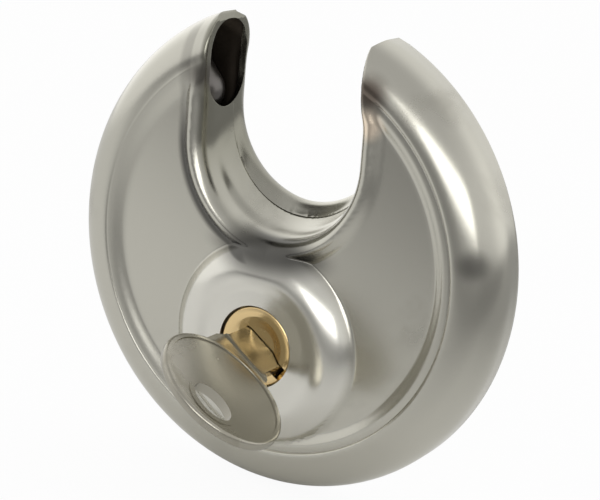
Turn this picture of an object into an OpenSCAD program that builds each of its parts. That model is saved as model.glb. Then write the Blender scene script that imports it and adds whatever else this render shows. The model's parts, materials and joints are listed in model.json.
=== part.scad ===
// Round shrouded padlock with a curved bar that turns inside a ring-shaped case.
// Every piece is drawn lying down: X to the right, Y up the notch, Z out of the front.
// upright() then stands it up and puts the origin at the middle of the closed bar.

/* [Case] */
// Outside diameter of the case
case_d = 70; // [69:0.5:80]
// Thickness over the rounded rim
case_t = 11.5; // [11.4:0.1:12.6]
// Wall of the two stamped shells
shell_wall = 1; // [0.7:0.05:1.1]
// Width of the rounded band outside the crease
band_w = 6.3; // [6:0.1:7]
// Height of the small step at the crease
crease_h = 0.3; // [0.2:0.05:0.4]
// Width of the flat ledge inside the crease
ledge_w = 1.2; // [0.8:0.1:1.8]
// Width of the sloping step down to the face
step_w = 1.3; // [1:0.1:1.6]
// Depth of the face below the ledge
face_sink = 0.6; // [0.4:0.05:0.7]
// How far the face swells between its edge and its middle
face_crown = 0.35; // [0.1:0.05:0.6]

/* [Notch] */
// Radius of the round end of the notch
notch_r = 12.6; // [12:0.1:13.2]
// Height of the notch's round end above the middle of the case
notch_up = 17; // [16.6:0.1:17.6]
// Slope of the notch's floor, rising to the back, in degrees
notch_tilt = 20; // [12:1:21]
// Inward lean of the notch's two sides, in degrees
notch_lean = 0.5; // [0.5:0.5:4]
// Radius of the front flare from the notch wall to the ridge
flare_r = 3.9; // [3.2:0.1:5]
// Depth of the front flare
flare_h = 3; // [2.4:0.1:3.2]
// Radius of the rounding at the back edge of the notch
back_flare_r = 2.4; // [2:0.1:2.8]
// Depth of that rounding
back_flare_h = 1.8; // [1.4:0.1:1.9]
// Radius of the raised ridge round the notch
ridge_r = 1.5; // [1.2:0.1:1.8]
// Height of the ridge over the rim
ridge_h = 0.2; // [0:0.05:0.5]
// Length of the ridge up each side of the notch
ridge_l = 5.2; // [3:0.1:7]
// How far behind the middle the two shells meet in the notch
seam_back = 2.2; // [1:0.1:2.6]
// Step between the two shells at that seam
seam_step = 0.2; // [0.1:0.05:0.3]
// How far below the top of the case the bevel of the tips begins
tip_drop = 3.7; // [3:0.1:4.2]

/* [Boss] */
// Distance of the cylinder's axis below the middle of the case
boss_down = 13.05; // [12.8:0.05:13.6]
// Radius of the round boss at its foot
boss_r = 14.7; // [14:0.1:15.4]
// Radius inside which the boss is flat
boss_flat_r = 10.2; // [9.6:0.1:10.8]
// Height of the front boss over the rim
boss_h = 1.8; // [1.6:0.1:2.4]
// Height of the blind boss on the back
back_boss_h = 2.8; // [2.7:0.1:3.4]
// Depth of the dish round the keyhole
dish_h = 0.3; // [0.1:0.05:0.4]

/* [Shackle] */
// Width of the oval bar, front to back
bar_w = 7.4; // [6.8:0.1:7.4]
// Height of the oval bar, across the ring
bar_h = 10.6; // [10:0.1:10.7]
// Gap between the bar and the case
bar_gap = 0.4; // [0.3:0.05:0.45]
// Depth of the open bar's nose behind its mouth
nose_back = 3.2; // [2.6:0.1:6]
// Angle that the bar reaches round the ring, without its nose
bar_arc = 100; // [92:1:102]
// Angle that the bar turns between open and locked
bar_travel = 75; // [72:1:76]
// Thickness of the forked arm
arm_t = 1.6; // [1.3:0.1:1.6]
// Angle of the bar's tail that the arm covers
arm_lap = 24; // [20:1:28]
// Angle by which the arm's web reaches past the bar's tail
arm_web = 12; // [8:1:14]
// Radius of the arm's rivets
rivet_r = 1.1; // [0.8:0.1:1.3]

/* [Drive] */
// Angle that the key turns between open and locked
key_travel = 124; // [116:1:130]
// Direction of the blade's back while the lock is open, in degrees
key_open = -34; // [-40:1:-28]
// Radius of the drive pin
drive_pin_r = 1.5; // [1.2:0.1:1.7]
// Thickness of the drive cam
cam_t = 1.4; // [1.2:0.1:1.5]
// Radius of the plug's tail
tail_r = 1.9; // [1.6:0.1:2]
// Gap between moving plates
plate_gap = 0.3; // [0.2:0.05:0.35]

/* [Cylinder] */
// Radius of the plug
plug_r = 5; // [4.7:0.05:5.1]
// Radius of the plug's face
plug_face_r = 5.8; // [5.6:0.05:6]
// Depth of the plug's face below the boss
plug_sink = 0.55; // [0.3:0.05:0.8]
// Wall of the cylinder body round the plug
cylinder_wall = 2.2; // [1.8:0.1:2.3]
// Running gap of the plug and of the pins
run_gap = 0.05; // [0.03:0.01:0.08]
// Number of pin stacks
pin_count = 4; // [3:1:4]
// Distance between pin stacks
pin_pitch = 1.8; // [1.7:0.05:1.85]
// Radius of the pins
pin_r = 0.7; // [0.6:0.05:0.75]
// Length of the driver pins
driver_l = 3; // [2.6:0.1:3.4]
// Length of the compressed springs
spring_l = 3.8; // [3.2:0.1:4]
// Thickness of the strip that closes the pin chambers
strip_t = 0.9; // [0.7:0.1:1]
// Width of the pin tower
tower_w = 4.6; // [4:0.1:5]
// Thickness of the hardened plate behind the boss
guard_t = 0.9; // [0.7:0.05:1]

/* [Key] */
// Thickness of the key's blade
blade_t = 1.9; // [1.7:0.05:2]
// Back of the blade, measured from the plug's axis
blade_back = 4.6; // [4.2:0.1:4.8]
// Edge of the blade at the first pin, measured from the plug's axis
blade_top = 2.9; // [2.6:0.1:3.1]
// Drop of the blade's edge from one pin to the next
bit_drop = 0.45; // [0.3:0.05:0.5]
// Half length of the oval bow across the key
bow_a = 10; // [9:0.1:11]
// Half length of the bow along the key
bow_b = 8.2; // [7.4:0.1:9]
// Distance of the bow's middle from the middle plane of the case
bow_out = 19.8; // [18.5:0.1:22]
// Sideways shift of the bow from the plug's axis
bow_shift = 4; // [3:0.1:4.5]
// Thickness of the bow inside its rim
bow_t = 1.7; // [1.5:0.05:1.9]
// Thickness over the bow's raised rim
bow_rim_t = 2.3; // [2.1:0.05:2.6]
// Width of the bow's raised rim
bow_rim_w = 0.9; // [0.7:0.05:1.2]
// Half length of the hole for a key ring
ring_hole_a = 3.3; // [2.8:0.1:3.6]

/* [Hidden] */
$fn = 96;
eps = 0.01;

rim_r = case_t / 2;                       // radius of the rim's round section
rim_c = case_d / 2 - rim_r;               // circle on which the rim's section sits
crease_r = case_d / 2 - band_w;
ledge_z = rim_r - crease_h;
step_out = crease_r - ledge_w;
step_in = step_out - step_w;
face_z = ledge_z - face_sink;             // outer face of the front shell at its edge
face_in = face_z - shell_wall;            // inner face of the front shell
back_in = rim_r - shell_wall;             // inner face of the rear shell
ridge_z = rim_r + ridge_h - ridge_r;      // middle of the ridge's round section
ridge_path = notch_r + flare_r - sqrt(pow(flare_r, 2) - pow(flare_h, 2)) + ridge_r * 0.1;
back_ridge_path = notch_r + back_flare_r - sqrt(pow(back_flare_r, 2) - pow(back_flare_h, 2))
                + ridge_r * 0.6;
notch_room = notch_r + shell_wall;        // inside of the case round the notch
tip_up = case_d / 2 - tip_drop;

bar_path = case_d / 2 - shell_wall - bar_gap - bar_h / 2;
mouth_angle = atan(notch_r / sqrt(pow(bar_path, 2) - pow(notch_r, 2)));
nose_angle = asin(bar_w / 2 / bar_path);  // angle that the rounded nose takes
bar_lead = 90 + mouth_angle + nose_back / bar_path * 180 / PI + nose_angle;
bar_tail = bar_lead + bar_arc;
half_travel = bar_travel / 2;

boss_z = rim_r + boss_h;
boss_round = dome_r(boss_r - boss_flat_r, boss_z - face_z - face_crown * 0.6);
back_boss_z = rim_r + back_boss_h;
back_boss_round = dome_r(boss_r - boss_flat_r, back_boss_h);
hole_r = plug_face_r + 0.2;
dish_w = dish_h;                          // slope round the boss's opening
plate_hole_r = boss_flat_r - 4 * dish_w;  // the guard plate fills this opening

core_r = bar_path - bar_h / 2 - bar_gap;  // outside of the die-cast core
guard_z = boss_z - dish_h - shell_wall - 0.1;
body_front = guard_z - guard_t;           // front end of the cylinder body
arm_back = back_in - plate_gap - 0.1;     // depth of the arm's back face
arm_front = arm_back - arm_t;
core_back = arm_front - plate_gap;        // depth of the core's back face
cam_front = back_in + 0.2;
cam_back = cam_front + cam_t;
core_gap = notch_room * (1 / cos(notch_tilt) - 1) + 0.3;
clip_t = 0.5;
clip_z = cam_back + 0.1;
tail_end = clip_z + clip_t + 0.15;
body_r = plug_r + cylinder_wall;
flange_t = 0.8;

drive_r = boss_down * tan(half_travel)
        / (sin(key_travel / 2) + cos(key_travel / 2) * tan(half_travel));
cam_r = drive_r + drive_pin_r * 1.8;
fork_r = boss_down - tail_r - plate_gap;  // outer edge of the fork
pin_dir = key_open + 180;                 // where the key pins point while open
home_dir = pin_dir + key_travel;          // where they point when locked

plug_front = boss_z - plug_sink;
plug_shoulder = body_front + 0.1;
keyway_end = -core_back + 0.6;
stack_front = body_front - pin_r - 0.5;
strip_in = plug_r + driver_l + spring_l + 0.2;
tower_l = strip_in + strip_t;
blade_end = keyway_end + 0.2;
neck_side = bow_a * 0.26;                 // shoulder of the blade under the bow
keyway_w = blade_t + 0.2;
ward_w = 0.8;
ward_h = 0.3;
spring_wire = 0.16;
post_r = 1.8;
post_edge = post_r * 2 / 3;
post_places = [[core_r - post_r - 2.9, 1], [10, -19], [-5.5, post_edge - core_r]];
screw_x = body_r + 2.3;
screw_r = 0.75;
screw_l = 4.4;
ear_r = 2.8 * screw_r;                    // ears of the cylinder body's flange

STACKS = [for (i = [1 : pin_count]) i];

// radius of an arc that is level after a run of w and falls by h
function dome_r(w, h) = (w * w + h * h) / (2 * h);
function turn(p, a) = [p[0] * cos(a) - p[1] * sin(a), p[0] * sin(a) + p[1] * cos(a)];
function unit(v) = v / norm(v);
// edge of the blade at pin stack i, and that stack's place along the axis
function bit(i) = blade_top - bit_drop * (i - 1);
function stack_z(i) = stack_front - pin_pitch * (i - 1);

// middle of the drive pin seen from the turning arm, t = 1 locked, t = -1 open
function drive_path(t) = turn([-drive_r * sin(t * key_travel / 2),
                               drive_r * cos(t * key_travel / 2) - boss_down], half_travel * t);
function drive_side(t) = let (d = unit(drive_path(t + 0.001) - drive_path(t - 0.001)))
                         [d[1], -d[0]];

module upright() translate([0, 0, -bar_path]) rotate([90, 0, 0]) children();
module at_plug() translate([0, -boss_down, 0]) children();
module with_key() at_plug() rotate([0, 0, key_open]) children();
module disc(r, z0, z1) translate([0, 0, z0]) cylinder(r = r, h = z1 - z0);

// oval of four arcs with half lengths a and b
module oval(a, b) {
    end_r = b * b / a + (a - b) * 0.15;
    side_r = (pow(a - end_r, 2) + b * b - end_r * end_r) / (2 * (b - end_r));
    join = (a - end_r) * side_r / (side_r - end_r);
    for (s = [-1, 1]) translate([s * (a - end_r), 0]) circle(end_r);
    intersection() {
        translate([0, b - side_r]) circle(side_r);
        translate([0, side_r - b]) circle(side_r);
        square([2 * join, 2 * b + 1], center = true);
    }
}

// half section of the case in front of its middle plane
module front_section() {
    intersection() {
        translate([rim_c, 0]) circle(rim_r);
        translate([crease_r, 0]) square([band_w + 1, rim_r + 1]);
    }
    translate([step_out, 0]) square([ledge_w + eps, ledge_z]);
    polygon([[step_in, 0], [step_out, 0], [step_out, ledge_z], [step_in, face_z]]);
    polygon([[0, 0], [step_in, 0], [step_in, face_z], [0, face_z + face_crown]]);
}

// half section of the plain back
module back_section() {
    intersection() {
        translate([rim_c, 0]) circle(rim_r);
        translate([rim_c, 0]) square([rim_r + 1, rim_r + 1]);
    }
    square([rim_c, rim_r]);
}

// half section of the hollow, up to the inner face at height z
module hollow_section(z, ledge) {
    intersection() {
        translate([rim_c, 0]) circle(rim_r - shell_wall);
        translate([rim_c, 0]) square([rim_r, rim_r]);
    }
    translate([0, -1]) square([step_in, 1 + z]);
    translate([0, -1]) square([rim_c, 1 + ledge]);
    translate([rim_c, -1]) square([rim_r - shell_wall, 1]);
}

// domed section of a boss, round of radius r down to the level z0
module boss_section(z, r) {
    square([boss_flat_r, z]);
    intersection() {
        translate([boss_flat_r, z - r]) circle(r);
        translate([boss_flat_r, 0]) square([boss_r - boss_flat_r + 0.6, z]);
    }
}

// middle of the notch's round end at height z in front of the middle plane
function notch_mid(z) = notch_up - z * tan(notch_tilt);

// outline of the notch grown by g, about the middle of its round end
module notch_outline(g = 0) {
    side = (notch_r + g) * [cos(notch_lean), sin(notch_lean)];
    run = case_d;
    circle(notch_r + g);
    polygon([[-side[0], side[1]], [side[0], side[1]],
             [side[0] - run * tan(notch_lean), run], [run * tan(notch_lean) - side[0], run]]);
}

// room of the notch: the outline pushed through the case along its sloping floor
module notch_room_solid(g = 0) {
    translate([0, notch_up, 0]) rotate([notch_tilt, 0, 0])
        translate([0, 0, -case_d / 2]) linear_extrude(height = case_d) notch_outline(g);
}

// section of a flare: starts level with the wall and opens towards the ridge
module flare_section(r, h) {
    base = rim_r + ridge_h - h;
    difference() {
        translate([0, base]) square([notch_r + r, h + 2]);
        translate([notch_r + r, base]) circle(r);
    }
}

// flare at height z, r its radius and h its depth
module flare(z, r, h) {
    translate([0, notch_mid(z), 0]) {
        rotate_extrude() flare_section(r, h);
        for (k = [0, 1]) mirror([k, 0, 0])
            rotate([0, 0, notch_lean]) rotate([-90, 0, 0]) mirror([0, 1, 0])
                linear_extrude(height = case_d) flare_section(r, h);
    }
}

// bevels that take the points off both tips
module tip_cut() {
    x = notch_r - (tip_up - notch_up) * tan(notch_lean);
    translate([0, tip_up, -case_t]) linear_extrude(height = 2 * case_t)
        polygon([[-x, 0], [x, 0], [x + case_d / 2, case_d / 2], [-x - case_d / 2, case_d / 2]]);
}

// raised ridge round the notch, a rolled edge of the stamping, on a path of radius r
module ridge(z, r) {
    translate([0, notch_mid(z), 0]) {
        rotate([0, 0, 180 - notch_lean]) rotate_extrude(angle = 180 + 2 * notch_lean)
            translate([r, 0]) ridge_section();
        for (k = [0, 1]) mirror([k, 0, 0]) rotate([0, 0, notch_lean])
            translate([r, 0, 0]) {
                length = ridge_l + notch_up - notch_mid(z);
                rotate([90, 0, 180]) linear_extrude(height = length) ridge_section();
                translate([0, length, 0]) {
                    disc(ridge_r, 0, ridge_z);
                    translate([0, 0, ridge_z]) sphere(ridge_r);
                }
            }
    }
}

module ridge_section() {
    translate([0, ridge_z]) circle(ridge_r);
    translate([-ridge_r, 0]) square([2 * ridge_r, ridge_z]);
}

// oval section of the bar, grown by g
module bar_section(g = 0) {
    reach = (bar_h - bar_w) / 2;
    for (s = [-1, 1]) translate([bar_path + s * reach, 0]) circle(bar_w / 2 + g);
    translate([bar_path - reach, -bar_w / 2 - g]) square([2 * reach, bar_w + 2 * g]);
}

// opening for the bar through both sides of the notch
module bar_channel() intersection() {
    rotate_extrude() bar_section(bar_gap);
    translate([-case_d / 2, 0, -case_t]) cube([case_d, case_d, 2 * case_t]);
}

// wall of the notch between the levels z0 and z1
module notch_wall(z0, z1) intersection() {
    translate([0, 0, z0]) linear_extrude(height = z1 - z0) square(case_d, center = true);
    notch_room_solid(shell_wall);
    rotate_extrude() {
        back_section();
        mirror([0, 1]) back_section();
    }
}

module front_shell() color("silver") upright() difference() {
    union() {
        difference() {
            union() {
                rotate_extrude() front_section();
                ridge(rim_r, ridge_path);
                at_plug() rotate_extrude() boss_section(boss_z, boss_round);
            }
            difference() {
                union() {
                    rotate_extrude() hollow_section(face_in, ledge_z - shell_wall);
                    at_plug() rotate_extrude()
                        boss_section(boss_z - dish_h - shell_wall, boss_round - shell_wall);
                }
                notch_room_solid(shell_wall);
            }
            flare(rim_r, flare_r, flare_h);
            at_plug() {
                disc(plate_hole_r, 0, boss_z + 1);
                translate([0, 0, boss_z - dish_h])
                    cylinder(r1 = plate_hole_r, r2 = plate_hole_r + dish_w, h = dish_h + eps);
            }
        }
        notch_wall(-seam_back, 0);
    }
    notch_room_solid();
    tip_cut();
    bar_channel();
}

module rear_shell() color("lightgray") upright() difference() {
    mirror([0, 0, 1]) union() {
        rotate_extrude() back_section();
        ridge(-rim_r, back_ridge_path);
        at_plug() rotate_extrude() boss_section(back_boss_z, back_boss_round);
    }
    difference() {
        mirror([0, 0, 1]) union() {
            rotate_extrude() hollow_section(back_in, back_in);
            at_plug() rotate_extrude()
                boss_section(back_boss_z - shell_wall, back_boss_round - shell_wall);
        }
        intersection() {
            notch_room_solid(shell_wall);
            translate([0, 0, -2 * case_t]) linear_extrude(height = 2 * case_t - seam_back)
                square(2 * case_d, center = true);
        }
    }
    intersection() {
        notch_room_solid(shell_wall);
        translate([0, 0, -seam_back]) linear_extrude(height = case_t)
            square(2 * case_d, center = true);
    }
    mirror([0, 0, 1]) flare(-rim_r, back_flare_r, back_flare_h);
    notch_room_solid(seam_step);
    tip_cut();
    bar_channel();
}

// die-cast core that fills the case inside the bar's channel and carries the cylinder
module core_block() color("dimgray") upright() difference() {
    union() {
        translate([0, 0, -core_back]) linear_extrude(height = core_back + face_in) {
            circle(core_r);
            translate([-tower_w / 2 - 2, -boss_down - tower_l - 1.2])
                square([tower_w + 4, tower_l]);
        }
        for (p = post_places) translate([p[0], p[1], 0]) disc(post_r, -back_in, 0);
    }
    translate([0, notch_mid(face_in), -case_t]) linear_extrude(height = 2 * case_t)
        notch_outline(shell_wall + core_gap);
    at_plug() {
        disc(body_r + run_gap, -case_t, case_t);
        translate([-tower_w / 2 - run_gap, -tower_l - 0.1, -case_t])
            cube([tower_w + 2 * run_gap, tower_l, 2 * case_t]);
        translate([0, 0, -case_t]) linear_extrude(height = case_t - core_back + flange_t + 0.1)
            ear_outline(0.1);
        for (s = [-1, 1]) translate([s * screw_x, 0, 0]) disc(screw_r + eps, -case_t, screw_l);
    }
}

// rear flange of the cylinder body with its two screw ears
module ear_outline(g = 0) {
    for (s = [-1, 1]) translate([s * screw_x, 0]) circle(ear_r + g);
    translate([-screw_x, -ear_r - g]) square([2 * screw_x, 2 * (ear_r + g)]);
}

module cylinder_body() color("darkkhaki") upright() at_plug() difference() {
    union() {
        disc(body_r, -core_back, body_front);
        translate([-tower_w / 2, -tower_l, -core_back])
            cube([tower_w, tower_l, core_back + body_front]);
        translate([0, 0, -core_back]) linear_extrude(height = flange_t) ear_outline();
    }
    disc(plug_r + run_gap, -case_t, case_t);
    for (i = STACKS) translate([0, 0, stack_z(i)]) rotate([90, 0, 0])
        cylinder(r = pin_r + run_gap, h = strip_in + 0.2);
    translate([-pin_r - 0.4, -tower_l - 1, strip_end()])
        cube([2 * pin_r + 0.8, 1 + strip_t, strip_length()]);
    for (s = [-1, 1]) translate([s * screw_x, 0, 0]) {
        disc(screw_r + 0.1, -case_t, 0);
        translate([0, 0, -core_back - eps])
            cylinder(r1 = 2 * screw_r + 0.1, r2 = screw_r + 0.1, h = screw_r);
    }
}

function strip_end() = stack_z(pin_count) - pin_r - 0.2;
function strip_length() = stack_front - stack_z(pin_count) + 2 * pin_r + 0.4;

// brass strip that closes the outer ends of the pin chambers
module chamber_strip() color("goldenrod") upright() at_plug()
    translate([-pin_r - 0.38, -tower_l, strip_end() + 0.02])
        cube([2 * pin_r + 0.76, strip_t, strip_length() - 0.04]);

// countersunk screws that hold the cylinder body in the core
module cylinder_screws() color("gray") upright() at_plug()
    for (s = [-1, 1]) translate([s * screw_x, 0, 0]) difference() {
        union() {
            disc(screw_r, -core_back + 0.1, screw_l - 0.2);
            translate([0, 0, -core_back])
                cylinder(r1 = 2 * screw_r, r2 = screw_r, h = screw_r);
        }
        translate([-2 * screw_r, -0.15, -core_back - eps]) cube([4 * screw_r, 0.3, 0.4]);
    }

// hardened plate behind the boss, with a raised middle that fills the boss's opening
module guard_plate() color("slategray") upright() at_plug() difference() {
    union() {
        disc(boss_flat_r + 0.9, body_front, guard_z);
        disc(plate_hole_r - 0.1, guard_z - eps, boss_z - dish_h);
    }
    disc(hole_r, 0, case_t);
}

module driver_pin(i) color("khaki") upright() at_plug()
    translate([0, -plug_r - run_gap, stack_z(i)]) rotate([90, 0, 0]) {
        cylinder(r1 = pin_r - 0.15, r2 = pin_r, h = 0.2);
        translate([0, 0, 0.2]) cylinder(r = pin_r, h = driver_l - 0.2);
    }

// compressed coil spring, closed against the strip
module pin_spring(i) color("lightgray") upright() at_plug()
    translate([0, -plug_r - run_gap - driver_l, stack_z(i)]) rotate([90, 0, 0])
        linear_extrude(height = spring_l + 0.1, twist = -360 * 5, slices = 60, $fn = 5)
            translate([pin_r - spring_wire - 0.05, 0]) circle(spring_wire);

// plug with its keyway, pin holes and tail
module plug() color("gold") upright() with_key() difference() {
    union() {
        disc(plug_r, -core_back, plug_front - 1);
        difference() {
            disc(plug_face_r, plug_shoulder, plug_front);
            translate([0, 0, plug_front - 0.9])
                cylinder(r1 = plug_face_r * 0.42, r2 = plug_face_r * 0.72, h = 0.9 + eps);
        }
        disc(tail_r, -cam_front + eps, -core_back);
        intersection() {
            disc(tail_r, -tail_end, -cam_front + 2 * eps);
            translate([-tail_r * 0.75, -tail_r, -case_t]) cube([tail_r * 1.5, 2 * tail_r, case_t]);
        }
    }
    difference() {
        translate([-blade_top - 0.15, -keyway_w / 2, keyway_end])
            cube([blade_top + plug_face_r + 1, keyway_w, case_t]);
        translate([ward_x(), -keyway_w / 2 - 1, keyway_end])
            cube([ward_w, ward_h + 1, plug_shoulder - keyway_end]);
    }
    for (i = STACKS) translate([0, 0, stack_z(i)]) rotate([0, -90, 0])
        cylinder(r = pin_r + run_gap, h = plug_r + 1);
    difference() {
        disc(tail_r + 1, -clip_z - clip_t - 0.05, -clip_z + 0.05);
        disc(tail_r - 0.6, -case_t, 0);
    }
}

function ward_x() = blade_back * 0.3;

// pin that rests on the key's edge, flush with the plug's surface
module key_pin(i) color("khaki") upright() with_key()
    translate([-bit(i) - 0.05, 0, stack_z(i)]) rotate([0, -90, 0]) {
        cylinder(r1 = pin_r * 0.45, r2 = pin_r, h = 0.35);
        translate([0, 0, 0.35]) cylinder(r = pin_r, h = plug_r - bit(i) - 0.35 - 0.12);
    }

// disc on the plug's tail that carries the drive pin
module drive_cam() color("darkgray") upright() at_plug() difference() {
    disc(cam_r, -cam_back, -cam_front);
    rotate([0, 0, key_open]) intersection() {
        disc(tail_r + 0.03, -case_t, 0);
        translate([-tail_r * 0.75 - 0.03, -tail_r - 1, -case_t])
            cube([tail_r * 1.5 + 0.06, 2 * tail_r + 2, case_t]);
    }
    drive_place() disc(drive_pin_r * 0.7, -case_t, 0);
}

// open end of the drive pin's travel, seen from the plug's axis
module drive_place() rotate([0, 0, 90 - key_travel / 2]) translate([drive_r, 0, 0]) children();

module drive_pin() color("gray") upright() at_plug() drive_place() {
    disc(drive_pin_r, -cam_front, -core_back - 0.2);
    disc(drive_pin_r * 0.7, -cam_back, -cam_front + eps);
}

// open clip in the groove of the plug's tail
module cam_clip() color("dimgray") upright() with_key() difference() {
    disc(tail_r + 1.2, -clip_z - clip_t, -clip_z);
    disc(tail_r - 0.55, -case_t, 0);
    translate([0, -tail_r + 0.5, -case_t]) cube([tail_r + 2, 2 * tail_r - 1, case_t]);
}

// curved bar with its rounded nose and the flat for the arm
module shackle_bar() color("gainsboro") upright() difference() {
    union() {
        rotate([0, 0, bar_lead]) rotate_extrude(angle = bar_arc) bar_section();
        rotate([0, 0, bar_lead]) translate([bar_path, 0, 0]) {
            reach = (bar_h - bar_w) / 2;
            for (s = [-1, 1]) translate([s * reach, 0, 0]) sphere(bar_w / 2);
            rotate([0, 90, 0]) cylinder(r = bar_w / 2, h = 2 * reach, center = true);
        }
    }
    rotate([0, 0, bar_tail - arm_lap - 0.5]) rotate_extrude(angle = arm_lap + 4)
        translate([core_r, -bar_w]) square([bar_h + 2, bar_w - arm_front]);
    rivet_places() disc(rivet_r, -case_t, case_t);
}

module rivet_places() for (a = [0.28, 0.72])
    rotate([0, 0, bar_tail - arm_lap * a]) translate([bar_path - 1.2, 0, 0]) children();

// sector of a circle between two angles, as a flat wedge
module wedge(a0, a1, r) polygon(concat([[0, 0]],
    [for (i = [0 : 8]) r * [cos(a0 + (a1 - a0) * i / 8), sin(a0 + (a1 - a0) * i / 8)]]));

// forked arm that ties the bar to the drive pin
module shackle_arm() color("darkgray") upright() rotate([0, 0, half_travel]) {
    tail = bar_tail - half_travel;
    fork_out = 48;
    difference() {
        translate([0, 0, -arm_back]) linear_extrude(height = arm_t) difference() {
            union() {
                intersection() {
                    circle(bar_path + 1.6);
                    wedge(tail - arm_lap, tail, case_d);
                }
                intersection() {
                    circle(core_r);
                    wedge(tail - arm_lap, tail + arm_web, case_d);
                }
                intersection() {
                    circle(fork_r);
                    wedge(tail - arm_lap, 270 + fork_out, case_d);
                }
            }
            for (s = [-1, 1]) rotate(s * half_travel)
                translate([0, notch_mid(-arm_front)]) circle(notch_room + core_gap);
            fork_slot();
        }
        rotate([0, 0, -half_travel]) rivet_places() disc(rivet_r, -case_t, case_t);
    }
}

// the fork's slot: the drive pin's own path, as wide as the pin and open outwards
module fork_slot() {
    steps = 24;
    side = drive_pin_r + 0.25;
    lead = [for (i = [0 : steps]) let (t = 1 - 2 * i / steps) drive_path(t) + side * drive_side(t)];
    polygon(concat(lead, [[lead[steps][0], -case_d / 2], [lead[0][0], -case_d / 2]]));
}

module arm_rivets() color("gray") upright() rivet_places() {
    disc(rivet_r, -arm_back, bar_w / 2 - 0.6);
}

// key: blade with descending cuts, neck and oval bow with a raised rim
module key() color("silver") upright() with_key() rotate([90, 0, 0]) difference() {
    union() {
        linear_extrude(height = blade_t, center = true) blade_outline();
        linear_extrude(height = bow_t, center = true) bow_outline();
        linear_extrude(height = bow_rim_t, center = true) difference() {
            bow_outline();
            translate([bow_shift, bow_out]) oval(bow_a - bow_rim_w, bow_b - bow_rim_w);
        }
        linear_extrude(height = bow_rim_t, center = true) hole_outline(0.6);
    }
    linear_extrude(height = 3 * bow_rim_t, center = true) hole_outline(0);
    translate([ward_x() - 0.15, blade_end - 1, blade_t / 2 - ward_h - 0.1])
        cube([ward_w + 0.3, bow_out - bow_b - blade_end, ward_h + 1]);
}

module bow_outline() translate([bow_shift, bow_out]) oval(bow_a, bow_b);
module hole_outline(g) translate([bow_shift + 1.2, bow_out + bow_b - bow_rim_w - 3.4])
    oval(ring_hole_a + g, ring_hole_a * 0.62 + g);

// the blade's outline, cuts on the left, back on the right
module blade_outline() {
    flat = pin_pitch * 0.22;
    neck = bow_out - bow_b;
    cuts = [for (i = [pin_count : -1 : 1]) each [[-bit(i), stack_z(i) - flat],
                                                 [-bit(i), stack_z(i) + flat]]];
    polygon(concat([[blade_back - 1.2, blade_end], [-bit(pin_count) + 0.8, blade_end]], cuts,
                   [[-blade_top, neck - 0.6], [-blade_top - neck_side / 2, neck + 1.5],
                    [-blade_top - neck_side / 2, bow_out], [blade_back + neck_side, bow_out],
                    [blade_back + neck_side, neck + 1], [blade_back, neck - 1],
                    [blade_back, blade_end + 1.2]]));
}

front_shell();
rear_shell();
core_block();
cylinder_body();
guard_plate();
chamber_strip();
cylinder_screws();
driver_pin(1);  // driver_pin_1
driver_pin(2);  // driver_pin_2
driver_pin(3);  // driver_pin_3
driver_pin(4);  // driver_pin_4
pin_spring(1);  // pin_spring_1
pin_spring(2);  // pin_spring_2
pin_spring(3);  // pin_spring_3
pin_spring(4);  // pin_spring_4
plug();
key_pin(1);  // key_pin_1
key_pin(2);  // key_pin_2
key_pin(3);  // key_pin_3
key_pin(4);  // key_pin_4
drive_cam();
drive_pin();
cam_clip();
shackle_bar();
shackle_arm();
arm_rivets();
key();
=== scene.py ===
# %% [markdown]
# # A round shrouded padlock
# The lock has a flat round case with a notch, a curved bar that turns inside the rim, and a key
# in an off-centre cylinder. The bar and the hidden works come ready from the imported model. This
# lesson presses the two shells, turns the plug's face, stamps the key, and gives every metal its
# own surface.

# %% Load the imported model
import bpy, bmesh, json, math
from mathutils import Matrix, Vector


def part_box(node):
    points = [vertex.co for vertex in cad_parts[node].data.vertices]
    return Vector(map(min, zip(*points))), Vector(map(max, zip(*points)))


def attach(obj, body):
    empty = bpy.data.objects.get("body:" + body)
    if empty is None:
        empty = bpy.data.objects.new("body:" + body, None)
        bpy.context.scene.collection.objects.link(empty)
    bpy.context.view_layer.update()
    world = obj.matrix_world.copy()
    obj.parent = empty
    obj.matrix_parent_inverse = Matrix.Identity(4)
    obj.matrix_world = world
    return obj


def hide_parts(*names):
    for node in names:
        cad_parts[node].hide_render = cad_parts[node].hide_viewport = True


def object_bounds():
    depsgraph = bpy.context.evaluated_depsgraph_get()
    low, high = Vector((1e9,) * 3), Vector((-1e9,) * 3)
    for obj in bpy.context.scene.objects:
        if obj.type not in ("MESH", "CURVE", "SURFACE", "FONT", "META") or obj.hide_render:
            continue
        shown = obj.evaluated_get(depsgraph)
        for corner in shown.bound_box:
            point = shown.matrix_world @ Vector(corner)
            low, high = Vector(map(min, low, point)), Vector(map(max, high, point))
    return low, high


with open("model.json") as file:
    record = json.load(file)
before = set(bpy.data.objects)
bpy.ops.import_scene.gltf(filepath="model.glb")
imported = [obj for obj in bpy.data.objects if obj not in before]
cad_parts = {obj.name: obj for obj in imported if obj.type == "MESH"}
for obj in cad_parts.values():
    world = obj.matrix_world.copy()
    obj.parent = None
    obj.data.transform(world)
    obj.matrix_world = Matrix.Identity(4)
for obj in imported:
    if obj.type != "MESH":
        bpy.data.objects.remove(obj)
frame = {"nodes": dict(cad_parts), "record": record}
cad_box = [list(map(float, corner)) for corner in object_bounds()]
print("solids:", len(frame["nodes"]), "box:", cad_box)

# %% [markdown]
# ## Camera
# A long lens from a little above and to the right keeps the round case nearly undistorted. The
# camera is set first, so that every later step can be judged in the same view. Its place is
# counted from the middle of the case, which is found from the front shell's box.

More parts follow.
